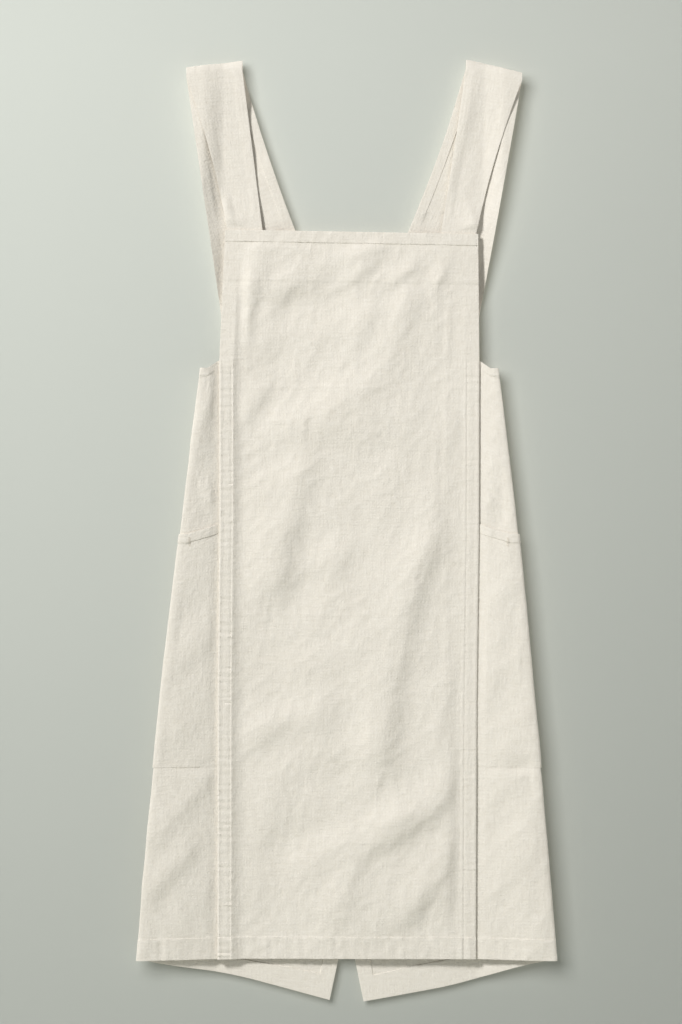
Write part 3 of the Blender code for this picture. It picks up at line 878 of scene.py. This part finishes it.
stitch = lying_cylinder(6, THREAD / 2, STITCH_LENGTH)
bpy.ops.object.mode_set(mode="EDIT")
bpy.ops.mesh.select_all(action="DESELECT")
bm = bmesh.from_edit_mesh(stitch.data)
for face in bm.faces:
    face.select = abs(face.normal.x) > 0.9
bmesh.update_edit_mesh(stitch.data)
bpy.ops.mesh.inset(thickness=THREAD * 0.2)
bpy.ops.object.mode_set(mode="OBJECT")
stitch_points, stitch_faces = taken_apart(stitch)
ends = np.abs(stitch_points[:, 0]) > STITCH_LENGTH / 2 - 1e-6
stitch_points[ends, 2] -= THREAD * 0.55  # both ends dive into the cloth
print("a stitch has", len(stitch_faces), "faces")

# %% Rows of stitches
stitches = {}


def read_along(place, length, line):
    """The point, or the normal, at a distance along a line."""
    return np.array([np.interp(place, length, line[:, k]) for k in range(3)])


def sew(sheet, lines):
    """Sews a sheet. lines: (points, normals) along each seam, on the surface of the cloth."""
    points, faces = [], []
    for path, normals in lines:
        length = np.concatenate([[0], np.cumsum(np.linalg.norm(np.diff(path, axis=0), axis=1))])
        for place in np.arange(STITCH_PITCH * 0.6, length[-1] - STITCH_PITCH * 0.5, STITCH_PITCH):
            at, up = read_along(place, length, path), read_along(place, length, normals)
            forward = read_along(place + LOOK_AHEAD, length, path) - at
            forward /= max(np.linalg.norm(forward), 1e-9)
            sideways = np.cross(up, forward)
            sideways /= max(np.linalg.norm(sideways), 1e-9)
            frame_axes = np.stack([forward, sideways, np.cross(forward, sideways)])
            faces += [[v + len(points) * len(stitch_points) for v in face] for face in stitch_faces]
            points.append(stitch_points @ frame_axes + at + up * THREAD * 0.05)
    obj = new_piece(sheet.replace("cloth", "stitches"), np.concatenate(points), faces)
    obj.data.shade_smooth()
    stitches[sheet] = obj
    print(obj.name, "has", len(points), "stitches")


def seam(sheet, along, measure, place, side="right", low=None, high=None):
    """The line along a sheet's rows or columns where measure, a number for each point, is equal to place."""
    data = sheets[sheet]
    points, normal = data[side], data["normal"] if side == "right" else -data["normal"]
    if along == "row":  # a row crosses every column
        points, normal, measure = points.transpose(1, 0, 2), normal.transpose(1, 0, 2), measure.T
    place = np.broadcast_to(place, len(points))
    path = np.array([read_along(p, m, line) for line, m, p in zip(points, measure, place)])
    normals = np.array([line[np.abs(m - p).argmin()] for line, m, p in zip(normal, measure, place)])
    return path[low:high], normals[low:high]


print("stitches lie", STITCH_PITCH * 1000, "mm apart")

# %% Sewing the front panel
name = "front_panel_cloth"
across, up = sheets[name]["flat"][..., 0], sheets[name]["flat"][..., 1]
across = across - across[:, :1]
right_edge = across[:, -1]
edge_seams = (0.0022, 0.0135, right_edge - 0.0022, right_edge - 0.0135)
hem_seams = (FRONT_LENGTH - TOP_HEM + 0.0016, LOWER_HEM - 0.0018, FRONT_LENGTH - FACING_DEPTH + 0.002)
lines = [seam(name, "column", across, place) for place in edge_seams]
sew(name, lines + [seam(name, "row", up, place) for place in hem_seams])

# %% Sewing the gores and the pockets
gore_seams = (GORE_HEM - 0.0018, GORE_TOP_AT_SEAM - GORE_TOP_HEM + 0.0016)
pocket_seams = (POCKET_TOP_AT_SEAM - POCKET_HEM + 0.0016, POCKET_BOTTOM + 0.0022)
for kind, places in (("side_gore", gore_seams), ("pocket", pocket_seams)):
    for name in (kind + "_left_cloth", kind + "_right_cloth"):
        sew(name, [seam(name, "row", sheets[name]["flat"][..., 1], place, low=3) for place in places])

# %% Sewing the back panels and the straps
for name in ("back_panel_left_cloth", "back_panel_right_cloth"):
    lines = []
    for side in ("right", "wrong"):
        lines.append(seam(name, "row", from_hem, BACK_HEM - 0.0018, side, high=-6))
        lines.append(seam(name, "column", from_gore, PANEL_WIDTH - CENTRE_HEM + 0.0018, side, low=6))
    lines += [seam(name, "column", from_gore, place) for place in (0.0022, SEAM_LAP - 0.0022)]
    lines.append(seam(name, "row", from_hem, PANEL_LENGTH - ARMHOLE_HEM + 0.0010))
    sew(name, lines)
for name in ("shoulder_strap_left_cloth", "shoulder_strap_right_cloth"):
    across, lines = sheets[name]["flat"][..., 0], []
    for side in ("right", "wrong"):
        for place in (STRAP_HEM - 0.0016, across[:, -1] - STRAP_HEM + 0.0016):
            lines.append(seam(name, "column", across, place, side, low=19))
    sew(name, lines)

# %% [markdown]
# ## Bar tacks
# The outer end of each pocket mouth takes the strain of a hand, so a short bar of zigzag thread is sewn over
# it. One turn of the thread is a thin cylinder, cut once in the middle and bowed over its two needle holes.

# %% The bar tacks
TACK_TURNS, TACK_THREAD, TACK_BOW, TACK_TILT = 13, 0.00042, 0.0003, 0.00030
for side in ("left", "right"):
    node = "bar_tack_" + side
    low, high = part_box(node)
    width = high.x - low.x
    one_turn = lying_cylinder(8, TACK_THREAD, width)
    bpy.ops.object.mode_set(mode="EDIT")
    bpy.ops.mesh.select_all(action="SELECT")
    bpy.ops.mesh.bisect(plane_co=(0, 0, 0), plane_no=(1, 0, 0), use_fill=False)
    bpy.ops.object.mode_set(mode="OBJECT")
    turn_points, turn_faces = taken_apart(one_turn)
    turn_points[:, 1] -= TACK_BOW * (1 - (turn_points[:, 0] / width * 2) ** 2)
    cloth = sheets["pocket_" + side + "_cloth"]
    front = cloth["right"][cloth["normal"][..., 1] < -0.5]
    points, faces = [], []
    for i in range(TACK_TURNS):
        height = mix(low.z + 0.0004, high.z - 0.0004, i / (TACK_TURNS - 1))
        tilt = TACK_TILT if i % 2 else -TACK_TILT
        moved = turn_points.copy()
        moved[:, 2] += height - HEM_Z + tilt * turn_points[:, 0] / width * 2
        moved[:, 1] += (low.y + high.y) / 2 + 0.0006
        moved[:, 0] += (low.x + high.x) / 2
        moved = hang(moved)
        nearest = ((front[:, None, ::2] - moved[None, :, ::2]) ** 2).sum(axis=2).argmin(axis=0)
        moved[:, 1] += front[nearest, 1] - moved[:, 1].mean() - 0.0001
        faces += [[v + len(moved) * i for v in face] for face in turn_faces]
        points.append(moved)
    tack = new_piece(node + "_thread", np.concatenate(points), faces)
    smooth_shading(tack, 60)
    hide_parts(node)
    print(tack.name, "has", TACK_TURNS, "turns of thread")

# %% [markdown]
# ## Natural cotton canvas
# The cloth is unbleached cotton, plain woven and washed once. Its threads are about 0.6 mm apart, which is
# finer than the picture can show, so the weave is drawn at 2.1 mm. Slubs, the thick places in a hand-spun
# looking thread, make short streaks along both directions. Cotton scatters light evenly and has a soft,
# very weak sheen from its loose fibres, so roughness is high and the specular level is low.

# %% Colours and nodes
WEAVE_PITCH = 0.0021  # drawn about three times coarser than the real 0.6 mm
SLUB_WIDTH, SLUB_LENGTH = 0.0022, 0.013
MOTTLE = 0.007
CANVAS_LIGHT, CANVAS_DARK, CANVAS_FLECK = "#ECE6DC", "#E4DDD1", "#D3C9BA"
THREAD_LIGHT, THREAD_DARK = "#E6DFD3", "#D6CDBF"
MATHS, NOISE, PRINCIPLED = "ShaderNodeMath", "ShaderNodeTexNoise", "ShaderNodeBsdfPrincipled"


def linear(hex_colour):
    """An sRGB hex colour as the linear RGBA that Blender works in."""
    channels = [int(hex_colour[i : i + 2], 16) / 255 for i in (1, 3, 5)]
    return (*[c / 12.92 if c <= 0.04045 else ((c + 0.055) / 1.055) ** 2.4 for c in channels], 1.0)


def add_node(tree, kind, settings=None, values=None, links=None):
    """Adds one node: settings are its properties, values its inputs' numbers, and links what feeds them."""
    node = tree.nodes.new(kind)
    for key, value in (settings or {}).items():
        setattr(node, key, value)
    for key, value in (values or {}).items():
        node.inputs[key].default_value = value
    for key, source in (links or {}).items():
        tree.links.new(source, node.inputs[key])
    return node


def new_material(name):
    material = bpy.data.materials.new(name)
    material.use_nodes = True
    material.node_tree.nodes.clear()
    return material, material.node_tree


print("the weave is drawn", WEAVE_PITCH * 1000, "mm apart")

# %% Canvas and thread
canvas, tree = new_material("cotton_canvas_plain_woven")
uv = add_node(tree, "ShaderNodeUVMap", {"uv_map": "flat_cloth"}).outputs["UV"]
place = add_node(tree, "ShaderNodeSeparateXYZ", links={0: uv})
waves = []
for axis in ("X", "Y"):
    turns = add_node(tree, MATHS, {"operation": "MULTIPLY"}, {1: pi / WEAVE_PITCH}, {0: place.outputs[axis]})
    waves.append(add_node(tree, MATHS, {"operation": "SINE"}, links={0: turns.outputs[0]}).outputs[0])
weave = add_node(tree, MATHS, {"operation": "MULTIPLY"}, links={0: waves[0], 1: waves[1]}).outputs[0]
slubs = []
for scale in ((1 / SLUB_WIDTH, 1 / SLUB_LENGTH, 1), (1 / SLUB_LENGTH, 1 / SLUB_WIDTH, 1)):
    stretched = add_node(tree, "ShaderNodeMapping", values={"Scale": scale}, links={"Vector": uv}).outputs[0]
    values = {"Scale": 1.0, "Detail": 2.0, "Roughness": 0.6}
    slubs.append(add_node(tree, NOISE, values=values, links={"Vector": stretched}).outputs[0])
slub = add_node(tree, MATHS, {"operation": "ADD"}, links={0: slubs[0], 1: slubs[1]}).outputs[0]
values = {"Scale": 1 / MOTTLE, "Detail": 4.0, "Roughness": 0.65}
mottle = add_node(tree, NOISE, values=values, links={"Vector": uv}).outputs[0]
cloud = add_node(tree, NOISE, values={"Scale": 14.0, "Detail": 3.0}, links={"Vector": uv}).outputs[0]
tone = add_node(tree, MATHS, {"operation": "MULTIPLY_ADD"}, {1: 0.45, 2: 0.05}, {0: slub}).outputs[0]
for share, source in ((0.30, mottle), (0.20, cloud), (0.02, weave)):
    tone = add_node(tree, MATHS, {"operation": "MULTIPLY_ADD"}, {1: share}, {0: source, 2: tone}).outputs[0]
ramp = add_node(tree, "ShaderNodeValToRGB", links={0: tone})
stops = ramp.color_ramp.elements
stops[0].position, stops[0].color = 0.30, linear(CANVAS_FLECK)
stops[1].position, stops[1].color = 0.95, linear(CANVAS_LIGHT)
stops.new(0.60).color = linear(CANVAS_DARK)
height = slub
for share, source in ((0.09, weave), (0.9, mottle)):
    links = {0: source, 2: height}
    height = add_node(tree, MATHS, {"operation": "MULTIPLY_ADD"}, {1: share}, links).outputs[0]
values = {"Strength": 0.55, "Distance": 0.0008}
bump = add_node(tree, "ShaderNodeBump", values=values, links={"Height": height})
shader = add_node(tree, PRINCIPLED, values={
    "Roughness": 0.88, "Specular IOR Level": 0.25, "Sheen Weight": 0.08, "Sheen Roughness": 0.5,
}, links={"Base Color": ramp.outputs[0], "Normal": bump.outputs[0]})
add_node(tree, "ShaderNodeOutputMaterial", links={"Surface": shader.outputs[0]})

thread, tree = new_material("cotton_thread_twisted")
place = add_node(tree, "ShaderNodeTexCoord").outputs["Object"]
twist = add_node(tree, NOISE, values={"Scale": 900.0, "Detail": 2.0}, links={"Vector": place}).outputs[0]
ramp = add_node(tree, "ShaderNodeValToRGB", links={0: twist})
stops = ramp.color_ramp.elements
stops[0].position, stops[0].color = 0.30, linear(THREAD_DARK)
stops[1].position, stops[1].color = 0.70, linear(THREAD_LIGHT)
bump = add_node(tree, "ShaderNodeBump", values={"Strength": 0.4, "Distance": 0.0002}, links={"Height": twist})
shader = add_node(tree, PRINCIPLED, values={
    "Roughness": 0.7, "Specular IOR Level": 0.3, "Sheen Weight": 0.1,
}, links={"Base Color": ramp.outputs[0], "Normal": bump.outputs[0]})
add_node(tree, "ShaderNodeOutputMaterial", links={"Surface": shader.outputs[0]})

tacks = [bpy.data.objects[f"bar_tack_{side}_thread"] for side in ("left", "right")]
for data in sheets.values():
    data["obj"].data.materials.append(canvas)
for obj in [*stitches.values(), *tacks]:
    obj.data.materials.append(thread)
print("materials:", canvas.name, thread.name)

# %% [markdown]
# ## The cut pieces
# Each cloth stands for one CAD node, whose plain piece is hidden. Its flat size is the rectangle that the
# piece was cut from, and area is the cut piece itself.

# %% The cut sizes, and the CAD pieces hidden
CUT = {  # flat width and length, area, how it is held, what it hangs from
    "front_panel": ((0.287, 0.803), 0.2284, "hung",
                    ["shoulder_strap_left_cloth", "shoulder_strap_right_cloth"]),
    "bib_facing": ((0.281, 0.055), 0.0152, "hung", ["front_panel_cloth"]),
    "side_gore_left": ((0.190, 0.675), 0.0880, "folded", ["front_panel_cloth", "back_panel_left_cloth"]),
    "side_gore_right": ((0.190, 0.675), 0.0880, "folded", ["front_panel_cloth", "back_panel_right_cloth"]),
    "pocket_left": ((0.120, 0.270), 0.0255, "folded", ["side_gore_left_cloth"]),
    "pocket_right": ((0.120, 0.270), 0.0255, "folded", ["side_gore_right_cloth"]),
    "back_panel_left": ((0.310, 0.750), 0.1530, "hung", ["shoulder_strap_right_cloth"]),
    "back_panel_right": ((0.310, 0.750), 0.1530, "hung", ["shoulder_strap_left_cloth"]),
    "shoulder_strap_left": ((0.130, 0.560), 0.0405, "hung", ["strap_folds"]),
    "shoulder_strap_right": ((0.130, 0.560), 0.0405, "hung", ["strap_folds"]),
}
for node, (flat_size, area, held, rests_on) in CUT.items():
    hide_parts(node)
    going_with = [stitches[node + "_cloth"]] if node + "_cloth" in stitches else []
    if node.startswith("pocket"):
        going_with.append(bpy.data.objects[node.replace("pocket", "bar_tack") + "_thread"])
print("sheets declared:", len(CUT))

# %% [markdown]
# ## Camera, light and stage
# The apron is looked at squarely from the front. A long lens keeps it almost free of perspective. A key lamp
# stands high on the left and a weak lamp on the right opens the shadows, and both light only the apron. A
# third lights only the wall and the floor, and two stand behind the wall for the view from there. The wall's
# front is a matt pale paint with painted shade, lighter on the left and darker towards the right and the
# bottom, and from behind it lets the eye and the light through.

# %% The camera
FRAME_HEIGHT, LENS, SENSOR = 1.1264, 90.0, 36.0
distance = FRAME_HEIGHT * LENS / SENSOR
clear_selection()
bpy.ops.object.camera_add(location=(-0.0088, -distance - 0.010, HEM_Z + 0.49335), rotation=(pi / 2, 0, 0))
camera = bpy.context.object
camera.data.lens, camera.data.sensor_width = LENS, SENSOR
bpy.context.scene.camera = camera
print("camera stands", round(distance, 3), "m away")

# %% The wall and the floor
WALL_GAP = 0.0065
WALL_Y = cad_box[1].y + WALL_GAP
clear_selection()
bpy.ops.mesh.primitive_plane_add(size=1, location=(0, WALL_Y, -0.2), rotation=(pi / 2, 0, 0))
wall = bpy.context.object
wall.name, wall.scale = "wall", (6.0, 3.0, 1.0)
bpy.ops.object.transform_apply(location=True, rotation=True, scale=True)
wall.visible_shadow = False
clear_selection()
bpy.ops.mesh.primitive_plane_add(size=8, location=(0, 0, cad_box[0].z - 0.30))
floor = bpy.context.object
floor.name = "floor"
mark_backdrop(wall, floor)

material, tree = new_material("wall_paint_with_painted_shade")
place = add_node(tree, "ShaderNodeTexCoord").outputs["Object"]
place = add_node(tree, "ShaderNodeSeparateXYZ", links={0: place})
shade = []
# painted shade: the wall's colour is lighter on the left and darker towards the right and the bottom, as the
# lamps' light falls off there
PAINTED_SHADE_FADES = (("Z", {1: -1.05, 2: 0.02, 3: 0.76, 4: 1.0}), ("X", {1: -0.34, 2: 0.36, 3: 1.03, 4: 0.95}))
for axis, values in PAINTED_SHADE_FADES:  # from, to, shade at from and shade at to, in metres along the wall
    fade = add_node(tree, "ShaderNodeMapRange", values=values, links={0: place.outputs[axis]})
    shade.append(fade.outputs[0])
shade = add_node(tree, MATHS, {"operation": "MULTIPLY"}, links={0: shade[0], 1: shade[1]}).outputs[0]
wall_colour = linear("#C3C6BF")[:3]
painted_shade_tint = add_node(tree, "ShaderNodeVectorMath", {"operation": "SCALE"}, {0: wall_colour}, {3: shade})
colour = painted_shade_tint.outputs[0]
values = {"Roughness": 0.9, "Specular IOR Level": 0.2}
paint = add_node(tree, PRINCIPLED, values=values, links={"Base Color": colour})
clear_pane = add_node(tree, "ShaderNodeBsdfTransparent")
facing_side = add_node(tree, "ShaderNodeNewGeometry").outputs["Backfacing"]
sides = {0: facing_side, 1: paint.outputs[0], 2: clear_pane.outputs[0]}
both = add_node(tree, "ShaderNodeMixShader", links=sides)
add_node(tree, "ShaderNodeOutputMaterial", links={"Surface": both.outputs[0]})
wall.data.materials.append(material)
material, tree = new_material("floor_paint_matt")
paint = add_node(tree, PRINCIPLED, values={"Base Color": linear("#D3D6CF"), "Roughness": 0.9})
add_node(tree, "ShaderNodeOutputMaterial", links={"Surface": paint.outputs[0]})
floor.data.materials.append(material)
print("wall at y", round(WALL_Y, 4))

# %% The lamps and the sky
AIM = Vector((0, 0, HEM_Z + 0.49))
LAMPS = [  # name, place, size, power and what it lights
    ("key_left", (-3.0, -3.1, AIM.z + 2.9), 0.95, 262.0, "apron_cloth"),
    ("wall_left", (-0.95, -2.3, AIM.z + 0.95), 1.6, 71.0, "room"),
    ("fill_right", (1.0, -0.95, AIM.z + 0.45), 0.9, 3.1, "apron_cloth"),
    ("back_left", (1.9, 1.7, AIM.z + 1.2), 0.9, 62.0, None),
    ("back_right", (-1.6, 2.2, AIM.z + 0.3), 1.6, 9.0, None),
]
lit = {}
for name, objects in (("apron_cloth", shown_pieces()), ("room", (wall, floor))):
    lit[name] = bpy.data.collections.new(name)
    for obj in objects:
        lit[name].objects.link(obj)
for name, place, size, power, lights in LAMPS:
    clear_selection()
    bpy.ops.object.light_add(type="AREA", location=place)
    lamp = bpy.context.object
    lamp.name = name
    lamp.rotation_euler = (AIM - Vector(place)).to_track_quat("-Z", "Y").to_euler()
    lamp.data.size, lamp.data.energy, lamp.data.color = size, power, linear("#FFFFFF")[:3]
    lamp.visible_camera = False
    if lights:
        lamp.light_linking.receiver_collection = lit[lights]
world = bpy.data.worlds.new("studio")
bpy.context.scene.world = world
world.use_nodes = True
world.node_tree.nodes["Background"].inputs["Color"].default_value = linear("#ECEDEB")
world.node_tree.nodes["Background"].inputs["Strength"].default_value = 0.15
bpy.context.scene.view_settings.view_transform = "Standard"

# %% Print the sizes and finish
visual_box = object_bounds()
for label, (low, high) in (("CAD box", cad_box), ("visual box", visual_box)):
    print(label, [round(s, 4) for s in high - low])
